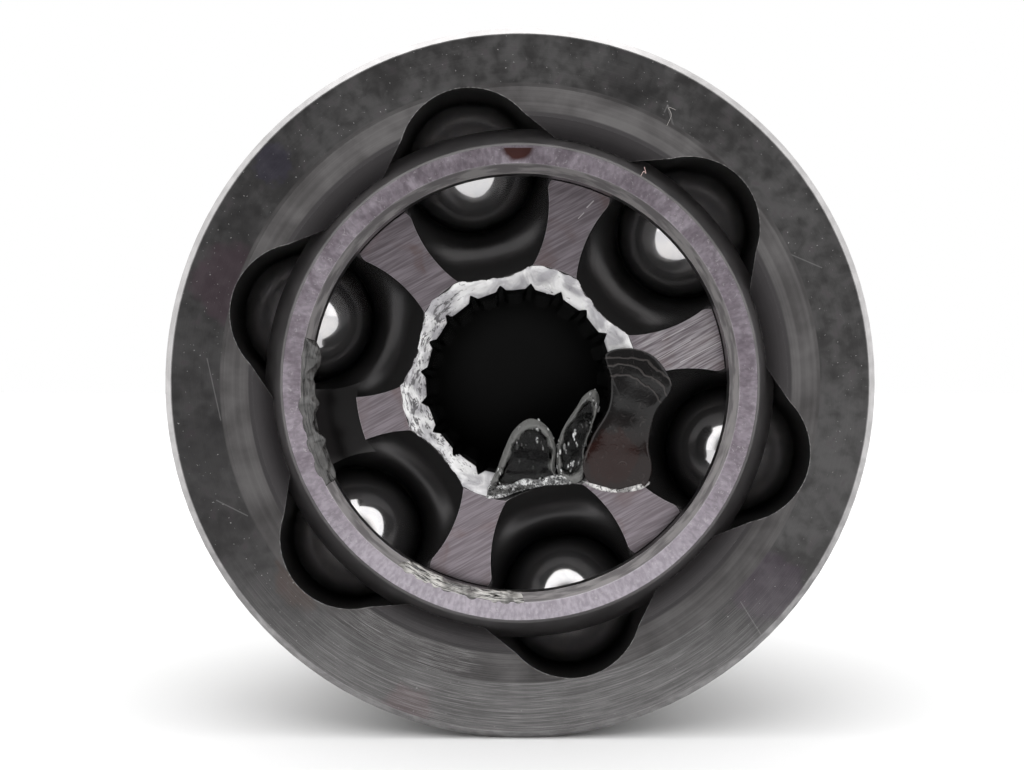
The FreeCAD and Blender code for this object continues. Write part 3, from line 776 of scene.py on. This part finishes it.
@dataclass
class Studio:
    """Plain white floor, soft light and the camera."""

    camera_distance: float = 150.0
    rim_depth: float = -18.1
    scale: float = 8.11
    sight: tuple[float, float] = (-0.99, -0.27)
    floor_height: float = -44.0
    floor_reach: float = 6000.0
    sensor: float = 36.0
    frame_width: int = 1024
    lamp_size: tuple[float, float] = (1.2, 0.8)
    lamp_power: float = 3.0
    lamp_place: tuple[float, float, float] = (-0.1, 0.2, 1.1)
    world_strength: float = 1.8
    world_levels: tuple[tuple[float, float], ...] = (
        (0.0, 0.07),
        (0.08, 0.1),
        (0.115, 0.8),
        (0.15, 1.0),
        (0.45, 1.0),
        (0.6, 0.62),
        (1.0, 0.55),
    )

    def build(self) -> None:
        """Put up the camera, the floor, the lamps and the world."""
        self._camera()
        self._floor()
        self._lamps()
        self._world()
        bpy.context.scene.view_settings.view_transform = "Standard"

    def _camera(self) -> None:
        """Look straight into the mouth, level with the joint's axis."""
        data = bpy.data.cameras.new("camera")
        data.sensor_width = self.sensor
        data.lens = self.sensor * self.scale * self.camera_distance / self.frame_width
        data.clip_start = 0.01
        camera = bpy.data.objects.new("camera", data)
        bpy.context.scene.collection.objects.link(camera)
        across, up = self.sight
        camera.location = (across * MM, (self.rim_depth - self.camera_distance) * MM, up * MM)
        camera.rotation_euler = (math.pi / 2, 0.0, 0.0)
        bpy.context.scene.camera = camera

    def _floor(self) -> None:
        """Lay a large pale floor that the bell rests on."""
        reach = self.floor_reach * MM
        mesh = bpy.data.meshes.new("floor")
        corners = [(-reach, -reach, 0), (reach, -reach, 0), (reach, reach, 0), (-reach, reach, 0)]
        mesh.from_pydata(corners, [], [(0, 1, 2, 3)])
        mesh.transform(Matrix.Translation((0, 0, self.floor_height * MM)))
        floor = bpy.data.objects.new("floor", mesh)
        bpy.context.scene.collection.objects.link(floor)
        graph = SurfaceGraph("floor_paper")
        seen = graph.add("ShaderNodeLightPath")
        shown = graph.math("MAXIMUM", seen.outputs["Is Camera Ray"], seen.outputs["Is Glossy Ray"])
        shown = graph.math("MAXIMUM", shown, seen.outputs["Is Transmission Ray"])
        graph.set("Base Color", graph.blend(shown, linear("e8e8e8"), linear("ededed")))
        graph.set("Roughness", 0.9)
        graph.set("Specular IOR Level", 0.1)
        mesh.materials.append(graph.material)

    def _lamps(self) -> None:
        """Hang one broad soft lamp above and a little in front."""
        data = bpy.data.lights.new("overhead", "AREA")
        data.shape = "RECTANGLE"
        data.size, data.size_y = self.lamp_size
        data.energy = self.lamp_power
        lamp = bpy.data.objects.new("overhead", data)
        lamp.location = self.lamp_place
        lamp.rotation_euler = (-Vector(self.lamp_place)).to_track_quat("-Z", "Y").to_euler()
        bpy.context.scene.collection.objects.link(lamp)

    def _world(self) -> None:
        """Surround the joint with white, and leave the room behind the camera dim."""
        world = bpy.data.worlds.new("surroundings")
        world.use_nodes = True
        bpy.context.scene.world = world
        graph = Graph(world.node_tree)
        background = world.node_tree.nodes["Background"]
        along = graph.add("ShaderNodeTexCoord").outputs["Generated"]
        forward = graph.make("ShaderNodeSeparateXYZ", {0: along}).outputs[1]
        ramp = graph.make("ShaderNodeValToRGB", {0: graph.math("MULTIPLY_ADD", forward, 0.5, 0.5)})
        points = ramp.color_ramp.elements
        while len(points) < len(self.world_levels):
            points.new(0.5)
        for point, (position, level) in zip(points, self.world_levels):
            point.position = position
            point.color = (level, level, level, 1.0)
        seen = graph.add("ShaderNodeLightPath").outputs["Is Camera Ray"]
        inputs = {0: seen, 2: graph.times(ramp.outputs[0], self.world_strength), 3: 1.0}
        strength = graph.make("ShaderNodeMix", inputs, data_type="FLOAT").outputs[0]
        graph.feed(background.inputs["Color"], (1.0, 1.0, 1.0, 1.0))
        graph.feed(background.inputs["Strength"], strength)


@dataclass
class CadDress:
    """Finishes of the solids that show as they are."""

    def build(self) -> None:
        """Give every solid its finish."""
        steel = {
            "outer_race": BellFinish().build(),
            "cage": CageFinish().build(),
            "inner_race": RaceFinish().build(),
        }
        ball = BallFinish().build()
        for name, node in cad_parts.items():
            material = steel.get(name, ball)
            node.data.materials.clear()
            node.data.materials.append(material)
            LOG.info("%s wears %s", name, material.name)


def closed_curve(points: list[Spot], steps: int) -> list[Spot]:
    """Run a smooth closed curve through a few points.

    Args:
        points: across and up of the points, in order.
        steps: how many points the curve gets between two of them.

    Returns:
        Across and up of the curve's points.
    """
    curve = []
    count = len(points)
    for i in range(count):
        before, here, there, after = (Vector(points[(i + k) % count]) for k in (-1, 0, 1, 2))
        for step in range(steps):
            share = step / steps
            bend = (2 * before - 5 * here + 4 * there - after) * share**2
            twist = (3 * here - before - 3 * there + after) * share**3
            curve.append(tuple((2 * here + (there - before) * share + bend + twist) / 2))
    return curve


def smooth_noise(place: Vector, size: float) -> float:
    """Soft random number from -1 to 1, with lumps of a size in millimetres."""
    return noise.noise(place / size)


def add_piece(
    name: str, mesh: bpy.types.Mesh, material: bpy.types.Material, carrier: Carrier
) -> bpy.types.Object:
    """Turn a mesh into a piece that rides on a body.

    Args:
        name: the piece's name.
        mesh: its mesh, in metres.
        material: its finish.
        carrier: the body it moves with.

    Returns:
        The piece.
    """
    piece = bpy.data.objects.new(name, mesh)
    bpy.context.scene.collection.objects.link(piece)
    mesh.materials.clear()
    mesh.materials.append(material)
    mesh.shade_smooth()
    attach(piece, carrier.value)
    LOG.info("%s has %d faces", name, len(mesh.polygons))
    return piece


def mesh_of(name: str, points: list[Vector], faces: list[tuple[int, ...]]) -> bpy.types.Mesh:
    """Make a mesh of points given in millimetres."""
    mesh = bpy.data.meshes.new(name)
    mesh.from_pydata([tuple(point * MM) for point in points], [], faces)
    mesh.validate()
    return mesh


class Relief:
    """How deep a solid lies under each spot of its front."""

    IN_FRONT = -40.0
    SPOTS_ROUND = 8

    def __init__(self, node: str, deepest: float) -> None:
        """Read a solid's mesh.

        Args:
            node: the solid's name.
            deepest: depth in millimetres past which a liquid's skin doesn't sag.
        """
        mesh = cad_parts[node].data
        points = [vertex.co / MM for vertex in mesh.vertices]
        self._tree = BVHTree.FromPolygons(points, [tuple(face.vertices) for face in mesh.polygons])
        self._deepest = deepest

    def depth(self, across: float, up: float) -> float:
        """Find the solid's depth under one spot."""
        start = Vector((across, self.IN_FRONT, up))
        hit = self._tree.ray_cast(start, Vector((0.0, 1.0, 0.0)), self._deepest - start.y)[0]
        return self._deepest if hit is None else hit.y

    def skin(self, across: float, up: float, reach: float) -> float:
        """Find the depth of a liquid's skin, which smooths steps but never sinks into the solid."""
        here = self.depth(across, up)
        total = here
        for turn in range(self.SPOTS_ROUND):
            angle = 2 * math.pi * turn / self.SPOTS_ROUND
            total += self.depth(across + reach * math.cos(angle), up + reach * math.sin(angle))
        return min(here, total / (self.SPOTS_ROUND + 1))


@dataclass
class Puddle:
    """A flat drop of liquid on the front of the inner race."""

    name: str
    outline: list[Spot]
    middle: Spot
    thickness: float
    deepest: float
    reach: float = 0.7
    ripple: float = 0.3
    ripple_size: float = 2.0
    dish: float = 0.0
    dish_place: float = 0.86
    dish_width: float = 0.1
    fill_to: float | None = None
    rings: int = 30
    steps: int = 14
    sunk: float = 0.12

    def build(self, material: bpy.types.Material) -> bpy.types.Object:
        """Make the drop."""
        relief = Relief(Carrier.RACE.value, self.deepest)
        ground = Relief(Carrier.RACE.value, self.deepest if self.fill_to is None else self.fill_to)
        rim = closed_curve(self.outline, self.steps)
        skin: list[Vector] = []
        sole: list[Vector] = []
        shares: list[float] = []
        for ring in range(self.rings + 1):
            share = math.sin(math.pi / 2 * ring / self.rings)
            for across, up in rim if ring else rim[:1]:
                shares.append(share)
                spot = (
                    self.middle[0] + (across - self.middle[0]) * share,
                    self.middle[1] + (up - self.middle[1]) * share,
                )
                depth = relief.skin(*spot, self.reach)
                skin.append(Vector((spot[0], depth - self._height(spot, share), spot[1])))
                sole.append(Vector((spot[0], max(depth, ground.depth(*spot)) + self.sunk, spot[1])))
        mesh = mesh_of(self.name, skin + sole, self._faces(len(rim), len(skin)))
        mesh.attributes.new("rim", "FLOAT", "POINT").data.foreach_set("value", shares * 2)
        return add_piece(self.name, mesh, material, Carrier.RACE)

    def _height(self, spot: Spot, share: float) -> float:
        """Work out how high the drop stands, with a round shoulder at its edge."""
        shoulder = math.sqrt(max(0.0, 1.0 - share**6))
        wave = self.ripple * smooth_noise(Vector((*spot, self.thickness)), self.ripple_size)
        bowl = 1.0 - self.dish * (1.0 - math.exp(-(((share - self.dish_place) / self.dish_width) ** 2)))
        return self.thickness * shoulder * bowl * (1.0 + wave)

    def _faces(self, count: int, skin: int) -> list[tuple[int, ...]]:
        """Join the skin, the sole and the edge between them."""
        faces = []
        for i in range(count):
            j = (i + 1) % count
            faces.append((0, 1 + j, 1 + i))
            faces.append((skin, skin + 1 + i, skin + 1 + j))
            for ring in range(self.rings - 1):
                low = 1 + ring * count
                high = low + count
                faces.append((low + i, low + j, high + j, high + i))
                faces.append((skin + low + i, skin + high + i, skin + high + j, skin + low + j))
            edge = 1 + (self.rings - 1) * count
            faces.append((edge + i, edge + j, skin + edge + j, skin + edge + i))
        return faces


@dataclass
class Smear:
    """Grease drawn out along part of a ring."""

    name: str
    carrier: Carrier
    start: float
    end: float
    section: Callable[[float], tuple[Vector, Vector]]
    thickness: float
    lump: float = 0.6
    lump_size: float = 1.5
    fringe: float = 0.25
    lean: float = 0.0
    notch: Callable[[float], float] = lambda degrees: 0.0
    across: int = 14
    step: float = 0.5
    sunk: float = 0.1
    ends: float = 9.0
    least: float = 0.02
    fringe_shift: float = 9.0

    def build(self, material: bpy.types.Material) -> bpy.types.Object:
        """Make the smear."""
        count = round((self.end - self.start) / self.step)
        loops = [self._loop(self.start + self.step * i, i / count) for i in range(count + 1)]
        size = len(loops[0])
        points = [point for loop in loops for point in loop]
        faces: list[tuple[int, ...]] = []
        for i in range(count):
            for k in range(size):
                m = (k + 1) % size
                faces.append((i * size + k, i * size + m, (i + 1) * size + m, (i + 1) * size + k))
        faces.append(tuple(range(size - 1, -1, -1)))
        faces.append(tuple(count * size + k for k in range(size)))
        return add_piece(self.name, mesh_of(self.name, points, faces), material, self.carrier)

    def _loop(self, degrees: float, share: float) -> list[Vector]:
        """Work out the closed section at one angle, in the joint's frame."""
        angle = math.radians(degrees)
        inner, outer = self.section(degrees)
        along = outer - inner
        away = Vector((-along.y, along.x)).normalized()
        if away.y > 0:
            away = -away
        away = (away + Vector((-self.lean, 0.0))).normalized()
        taper = min(1.0, self.ends * share, self.ends * (1.0 - share)) ** 0.5
        fronts, backs = [], []
        for k in range(self.across + 1):
            place = k / self.across
            flat = inner + along * place + along.normalized() * self.notch(degrees) * (1.0 - place) ** 2.5
            spot = Vector((flat.x * math.cos(angle), flat.x * math.sin(angle), flat.y))
            bulge = max(0.0, 1.0 - (2 * place - 1) ** 4) ** 0.5
            lump = 1.0 + self.lump * smooth_noise(spot, self.lump_size)
            height = self.thickness * (bulge * lump * taper + self.least)
            shifted = spot + Vector((self.fringe_shift, 0.0, 0.0))
            ragged = smooth_noise(shifted, self.lump_size * 0.7)
            edge = self.fringe * ragged * along.normalized() * place**4 * taper
            fronts.append(self._turn(flat + edge + away * height, angle))
            backs.append(self._turn(flat + edge - away * self.sunk, angle))
        return fronts + backs[::-1]

    def _turn(self, flat: Vector, angle: float) -> Vector:
        """Put a radius and a depth at an angle round the joint."""
        return Vector((flat.x * math.cos(angle), flat.y, flat.x * math.sin(angle)))


@dataclass
class SplineGrease:
    """Where the grease ring, pale partly by painted reflection, lies on the lead chamfer of the shaft
    spline.
    """

    outer_radius: float = 15.0
    front: float = -14.2
    cone_radius: float = 15.1
    tip_radius: float = 12.05
    valley_depth: float = 1.0
    lobe_depth: float = 0.3
    tooth_count: int = 20
    first_tip: float = 2.5
    valley_share: float = 0.17
    track_count: int = 6
    first_track: float = 42.6
    track_offset: float = 4.2
    track_arc: float = 30.69
    track_tube: float = 8.93
    least: float = 0.3
    step: float = 0.05

    def section(self, degrees: float) -> tuple[Vector, Vector]:
        """Find the inner and outer edge of the grease, as radius and depth, at one angle."""
        inner = self.tip_radius
        outer = self.outer_radius
        while outer > inner + self.least and self._in_track(outer, degrees):
            outer -= self.step
        return self._on_cone(inner), self._on_cone(outer)

    def notch(self, degrees: float) -> float:
        """Find how far the spline's teeth cut into the grease's inner edge at one angle."""
        pitch = 360.0 / self.tooth_count
        from_tip = (degrees - self.first_tip) % pitch / pitch
        valley = max(0.0, 1.0 - abs(from_tip - 0.5) / self.valley_share)
        lobe = (2 * min(from_tip, 1.0 - from_tip)) ** 2
        return self.lobe_depth * lobe + self.valley_depth * valley

    def _on_cone(self, radius: float) -> Vector:
        """Find the chamfer's depth at a radius."""
        return Vector((radius, self.front + self.cone_radius - radius))

    def _in_track(self, radius: float, degrees: float) -> bool:
        """Say whether a spot of the chamfer has been cut away by a ball track."""
        pitch = 360.0 / self.track_count
        turn = math.radians((degrees - self.first_track + pitch / 2) % pitch - pitch / 2)
        depth = self._on_cone(radius).y - self.track_offset
        reach = math.hypot(radius * math.cos(turn), depth) - self.track_arc
        return math.hypot(reach, radius * math.sin(turn)) < self.track_tube


def cage_edge(degrees: float) -> tuple[Vector, Vector]:
    """Find the inner and outer edge of grease on the cage's front bore, as radius and depth."""
    return Vector((26.1, -16.3)), Vector((27.2, -17.8))


class Rule:
    """A geometry-node tree with named inputs, applied once to make a plain mesh."""

    def __init__(self, name: str, sizes: dict[str, float]) -> None:
        """Start a tree.

        Args:
            name: the tree's name.
            sizes: its named inputs and their values.
        """
        self.graph = Graph(bpy.data.node_groups.new(name, "GeometryNodeTree"))
        face = self.graph.tree.interface
        face.new_socket("Geometry", in_out="INPUT", socket_type="NodeSocketGeometry")
        face.new_socket("Geometry", in_out="OUTPUT", socket_type="NodeSocketGeometry")
        self._named = {
            key: face.new_socket(key, in_out="INPUT", socket_type="NodeSocketFloat").identifier
            for key in sizes
        }
        self._sizes = sizes
        self.inputs = self.graph.add("NodeGroupInput").outputs
        self.output = self.graph.add("NodeGroupOutput").inputs[0]

    def sweep(self, line: Socket, section: Socket) -> Socket:
        """Sweep a closed section along a line, and close the ends."""
        inputs = {"Curve": line, "Profile Curve": section, "Fill Caps": True}
        return self.graph.make("GeometryNodeCurveToMesh", inputs).outputs[0]

    def finish(self, shape: Socket, material: bpy.types.Material) -> None:
        """Make the tree's result real and give it its finish."""
        real = self.graph.make("GeometryNodeRealizeInstances", {0: shape}).outputs[0]
        dressed = self.graph.make("GeometryNodeSetMaterial", {"Geometry": real, "Material": material})
        self.graph.feed(self.output, dressed.outputs[0])

    def apply(self, start: bpy.types.Mesh) -> bpy.types.Mesh:
        """Run the tree on a mesh and return the plain mesh it makes."""
        source = bpy.data.objects.new("rule_source", start)
        bpy.context.scene.collection.objects.link(source)
        modifier = source.modifiers.new("rule", "NODES")
        modifier.node_group = self.graph.tree
        for key, identifier in self._named.items():
            modifier[identifier] = self._sizes[key]
        ready = source.evaluated_get(bpy.context.evaluated_depsgraph_get())
        mesh = bpy.data.meshes.new_from_object(ready)
        bpy.data.objects.remove(source)
        return mesh


@dataclass
class NutThread:
    """Helical crests of the nut thread on the stub."""

    radius: float = 11.9
    pitch: float = 1.5
    start: float = 87.6
    length: float = 18.4
    crest: float = 0.28
    half_width: float = 0.62
    steps_a_turn: int = 72
    sides: int = 4

    def build(self) -> bpy.types.Object:
        """Make the thread as one swept ridge."""
        sizes = {
            "radius": self.radius + self.crest - self.half_width,
            "turns": self.length / self.pitch,
            "length": self.length,
        }
        rule = Rule("nut_thread", sizes)
        graph = rule.graph
        inputs = {
            "Resolution": self.steps_a_turn,
            "Rotations": rule.inputs["turns"],
            "Start Radius": rule.inputs["radius"],
            "End Radius": rule.inputs["radius"],
            "Height": rule.inputs["length"],
        }
        helix = graph.make("GeometryNodeCurveSpiral", inputs).outputs[0]
        upright = graph.make("GeometryNodeSetCurveNormal", {0: helix}, mode="Z_UP").outputs[0]
        inputs = {"Resolution": self.sides, "Radius": self.half_width}
        ridge = graph.make("GeometryNodeCurvePrimitiveCircle", inputs).outputs[0]
        inputs = {
            "Geometry": rule.sweep(upright, ridge),
            "Rotation": (-math.pi / 2, 0.0, 0.0),
            "Translation": (0.0, self.start, 0.0),
        }
        laid = graph.make("GeometryNodeTransform", inputs).outputs[0]
        small = graph.make("GeometryNodeTransform", {"Geometry": laid, "Scale": (MM, MM, MM)})
        material = BellFinish().build()
        rule.finish(small.outputs[0], material)
        mesh = rule.apply(bpy.data.meshes.new("thread_start"))
        piece = add_piece("nut_thread_crests", mesh, material, Carrier.BELL)
        mesh.shade_flat()
        return piece


@dataclass
class Droplets:
    """Small drops and bubbles scattered over a smear of grease."""

    name: str
    density: float
    largest: float
    seed: int
    stretch: float = 1.6
    smallest: float = 0.25
    roundness: int = 3

    def build(self, smear: bpy.types.Object, material: bpy.types.Material, carrier: Carrier) -> None:
        """Scatter the drops.

        Args:
            smear: the piece that they lie on.
            material: their finish.
            carrier: the body they move with.
        """
        rule = Rule(self.name, {"density": self.density, "largest": self.largest * MM})
        graph = rule.graph
        inputs = {
            "Mesh": rule.inputs["Geometry"],
            "Density": rule.inputs["density"],
            "Seed": self.seed,
        }
        spots = graph.make("GeometryNodeDistributePointsOnFaces", inputs, distribute_method="RANDOM")
        drop = graph.make("GeometryNodeMeshIcoSphere", {"Radius": 1.0, "Subdivisions": self.roundness})
        inputs = {2: self.smallest, 3: 1.0, "Seed": self.seed + 1}
        drawn = graph.make("FunctionNodeRandomValue", inputs, data_type="FLOAT").outputs[1]
        grown = graph.times(graph.math("POWER", drawn, 2.0), rule.inputs["largest"])
        narrow = graph.times(grown, 1.0 / self.stretch)
        inputs = {
            "Points": spots.outputs["Points"],
            "Instance": drop.outputs["Mesh"],
            "Rotation": spots.outputs["Rotation"],
            "Scale": graph.combine(narrow, graph.times(grown, self.stretch), narrow),
        }
        rule.finish(graph.make("GeometryNodeInstanceOnPoints", inputs).outputs[0], material)
        add_piece(self.name, rule.apply(smear.data.copy()), material, carrier)


@dataclass
class Fibre:
    """A hair or thread of lint lying on the front."""

    name: str
    route: list[tuple[float, float, float]]
    carrier: Carrier
    thickness: float = 0.035
    sides: int = 8

    def build(self, material: bpy.types.Material) -> bpy.types.Object:
        """Sweep a thin round section along the route."""
        rule = Rule(self.name, {"thickness": self.thickness * MM})
        graph = rule.graph
        line = graph.make("GeometryNodeMeshToCurve", {"Mesh": rule.inputs["Geometry"]}).outputs[0]
        smooth = graph.make("GeometryNodeCurveSplineType", {"Curve": line}, spline_type="CATMULL_ROM")
        inputs = {"Resolution": self.sides, "Radius": rule.inputs["thickness"]}
        section = graph.make("GeometryNodeCurvePrimitiveCircle", inputs)
        rule.finish(rule.sweep(smooth.outputs[0], section.outputs[0]), material)
        path = bpy.data.meshes.new(self.name + "_path")
        points = [tuple(Vector(point) * MM) for point in self.route]
        path.from_pydata(points, [(i, i + 1) for i in range(len(points) - 1)], [])
        return add_piece(self.name, rule.apply(path), material, self.carrier)


@dataclass
class Greases:
    """Grease and oil left on the opened joint."""

    ring_start: float = 14.0
    ring_end: float = 256.0

    def build(self) -> None:
        """Lay every smear, puddle and drop."""
        self._spline_ring()
        self._clear_wedges()
        self._used_oil()
        self._wet_line()
        self._cage_smears()

    def _spline_ring(self) -> None:
        """Ring the spline's lead chamfer with grease, pale partly by painted reflection."""
        # The ring's pale colour is partly the grease's own, partly a painted reflection of the bright
        # surroundings on the chamfer.
        pale = GreaseFinish(
            "grease_pale_painted_reflection", "e9e8e8", "a8a6aa", "605e60", 0.15, 0.7, 0.1, left_darker=0.13, flow=7.0
        ).build()
        chamfer = SplineGrease()
        ring = Smear(
            "spline_grease_ring", Carrier.RACE, self.ring_start, self.ring_end, chamfer.section,
            thickness=0.34, lump=0.5, lump_size=1.6, fringe=0.3, notch=chamfer.notch, across=18, step=0.3,
        ).build(pale)
        Droplets("spline_grease_drops", 120000.0, 0.3, 5).build(ring, pale, Carrier.RACE)

    def _clear_wedges(self) -> None:
        """Hang clear grease over the lower teeth of the spline."""
        # The rim colour here paints a highlight along the meniscus of the clear grease, partly milky
        # grease.
        clear = GreaseFinish(
            "grease_clear", "8a8a88", "6a6a68", "4a4a48", 0.35, 0.3, 0.02, clear=1.0, relief=0.9, coat=0.2,
            ior=1.2, rim="828280",
        ).build()
        wedge = Puddle(
            "spline_grease_wedge",
            [(-4.2, -14.2), (-2.9, -11.0), (-2.0, -8.6), (-0.7, -6.0), (1.4, -4.6), (3.6, -5.7),
             (4.7, -8.4), (4.5, -11.2), (4.9, -12.7), (1.8, -13.4), (-1.6, -14.2)],
            (1.6, -10.2), thickness=1.3, deepest=-11.2, ripple=0.6, ripple_size=2.2, dish=0.75,
        ).build(clear)
        # Painted highlights: this finish's white and black speckle stands for sparkling light on glossy
        # grease; the foot, drops and beads that wear it are real grease.
        glinting_grease = GreaseFinish(
            "grease_wet_painted_glints", "f2f2f2", "7a7a7a", "1c1c1c", 0.9, 1.5, 0.03, relief=0.6, coat=1.0
        ).build()
        Puddle(
            "spline_grease_foot",
            [(-4.3, -14.5), (-3.2, -13.2), (-1.2, -12.9), (0.6, -12.2), (2.8, -12.3), (4.6, -11.7),
             (6.6, -12.3), (6.2, -12.9), (3.6, -13.1), (0.4, -13.7), (-2.4, -14.6)],
            (1.0, -13.0), thickness=0.45, deepest=-13.0, ripple=0.8, ripple_size=0.9, rings=12,
            fill_to=-12.0,
        ).build(glinting_grease)
        Droplets("spline_grease_glint_drops", 260000.0, 0.34, 23).build(wedge, glinting_grease, Carrier.RACE)
        tongue = Puddle(
            "spline_grease_tongue",
            [(4.8, -8.6), (5.5, -6.0), (7.0, -3.6), (8.4, -1.5), (9.8, -0.9), (10.3, -2.6), (9.5, -5.4),
             (8.4, -8.6), (8.1, -12.0), (6.2, -12.8), (4.9, -11.6)],
            (7.2, -7.4), thickness=1.2, deepest=-11.4, ripple=0.6, ripple_size=1.7, dish=0.7,
        ).build(clear)
        Droplets("spline_grease_glint_beads", 500000.0, 0.34, 31).build(tongue, glinting_grease, Carrier.RACE)

    def _used_oil(self) -> None:
        """Pool dark oil over the land and the track beside it."""
        oil = OilFinish().build()
        Puddle(
            "used_oil_pool",
            [(10.9, 3.6), (13.6, 4.4), (16.6, 3.6), (18.7, 1.2), (19.1, -0.9), (17.2, -3.7),
             (16.3, -7.6), (16.7, -11.0), (15.6, -13.2), (12.3, -13.8), (9.0, -12.8), (8.0, -10.4),
             (9.2, -6.8), (11.2, -3.2), (11.5, 0.4)],
            (13.9, -4.6), thickness=0.34, deepest=-14.2, reach=1.0, ripple=0.25, ripple_size=3.0,
            fill_to=-9.0,
        ).build(oil)

    def _wet_line(self) -> None:
        """Run a bead of pale grease along the lower edge of the oil."""
        pale = GreaseFinish("grease_bead", "e2e0de", "7d7b7a", "2c2b2a", 0.7, 1.2, 0.05).build()
        Puddle(
            "wet_grease_line",
            [(8.0, -12.4), (9.9, -13.1), (12.1, -13.4), (14.3, -13.2), (16.2, -12.5), (16.4, -12.9),
             (14.8, -13.65), (12.1, -13.9), (9.9, -13.55), (8.3, -12.8)],
            (12.2, -13.55), thickness=0.3, deepest=-13.6, ripple=0.7, ripple_size=1.1, rings=10,
        ).build(pale)

    def _cage_smears(self) -> None:
        """Leave grease on the front bore of the cage."""
        cream = GreaseFinish(
            "grease_cream", "d2cfca", "5d5a57", "1f1e1d", 0.85, 0.6, 0.06, relief=0.4, coat=1.0, flow=7.0,
            flow_across=4.0,
        ).build()
        low = Smear(
            "cage_grease_cream", Carrier.CAGE, 236.0, 271.0, cage_edge,
            thickness=0.4, lump=0.9, lump_size=1.1, fringe=0.4, step=0.4,
        ).build(cream)
        Droplets("cage_grease_drops", 120000.0, 0.3, 11).build(low, cream, Carrier.CAGE)
        dark = GreaseFinish(
            "grease_dark", "636160", "383736", "1f1e1d", 0.7, 0.6, 0.14, relief=0.5, flow=5.0,
            flow_across=3.5,
        ).build()
        Smear(
            "cage_grease_dark", Carrier.CAGE, 168.0, 208.0, cage_edge,
            thickness=1.3, lump=1.1, lump_size=2.2, fringe=0.5, lean=0.9,
        ).build(dark)


@dataclass
class Lint:
    """Hairs and lint on the front."""

    def build(self) -> None:
        """Lay each hair where it was caught."""
        pink = FibreFinish("lint_pink", "c98f86").build()
        route = [(14.9, -18.0, 25.5), (15.2, -18.5, 26.0), (15.5, -18.3, 25.8), (15.3, -18.2, 26.6)]
        Fibre("cage_lint", route, Carrier.CAGE).build(pink)
        pale = FibreFinish("lint_pale", "86827d").build()
        route = [(18.1, -18.15, 31.7), (18.6, -18.5, 32.9), (18.3, -18.3, 33.9), (19.2, -18.25, 33.6)]
        Fibre("rim_lint", route, Carrier.BELL, 0.022).build(pale)


def main() -> None:
    """Build the scene, in order."""
    logging.basicConfig(level=logging.INFO)
    for part in (Studio(), CadDress(), Greases(), NutThread(), Lint()):
        part.build()
        LOG.info("%s done", type(part).__name__)


if __name__ == "__main__":
    main()
